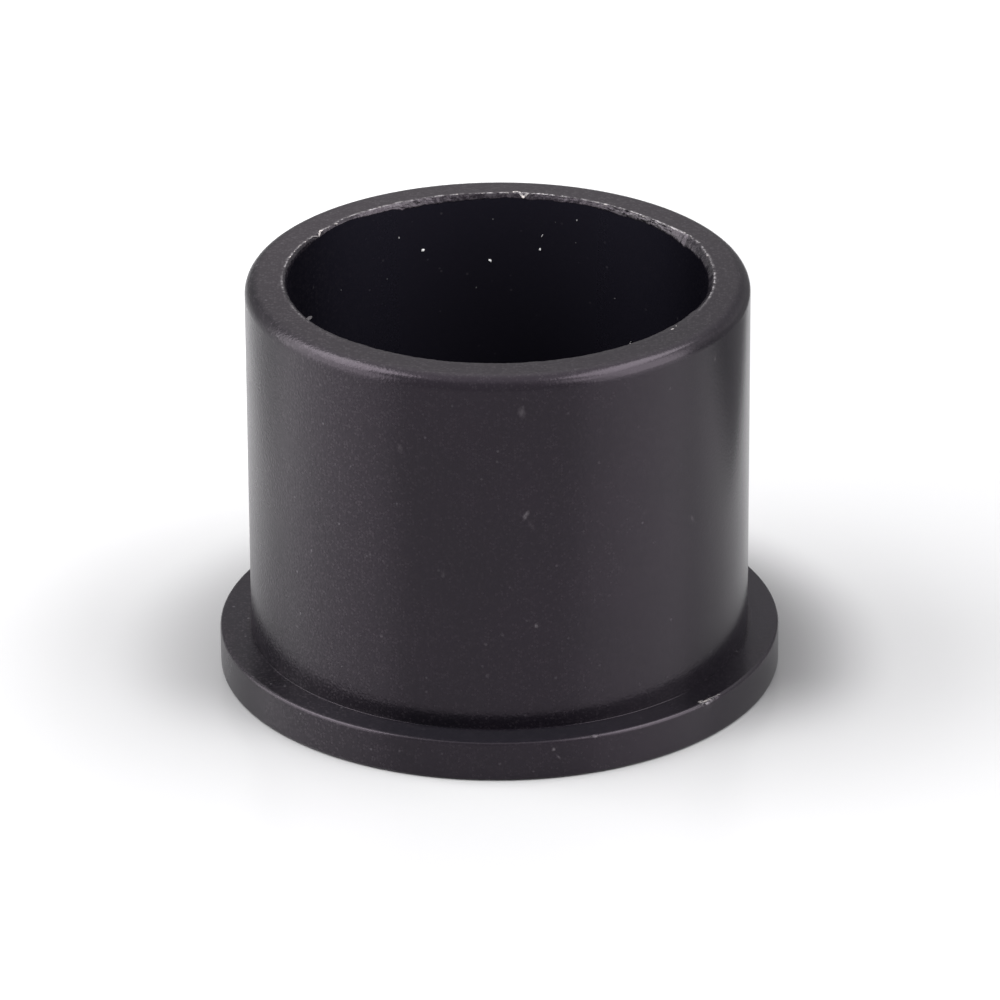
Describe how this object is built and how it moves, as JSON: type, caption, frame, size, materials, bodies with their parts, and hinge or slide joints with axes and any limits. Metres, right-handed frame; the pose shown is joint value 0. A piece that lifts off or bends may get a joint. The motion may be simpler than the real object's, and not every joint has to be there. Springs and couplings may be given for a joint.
{
  "type": "flanged axle bushing",
  "caption": "Plain round sleeve bushing with a through bore, a rounded rim at the open end and a thin collar at the foot, in satin black plastic.",
  "frame": {"origin": "centre of the bore at the collar's foot face, on which the bushing stands", "axes": "+Z along the bore from the collar to the open end; X and Y are any two directions square to it"},
  "size_m": [0.0428, 0.0428, 0.0318],
  "materials": {
    "black_plastic": "satin black, fine grain, with a scraped edge at the mouth of the bore"
  },
  "bodies": {
    "root": {"bushing": "black_plastic"}
  },
  "joints": []
}
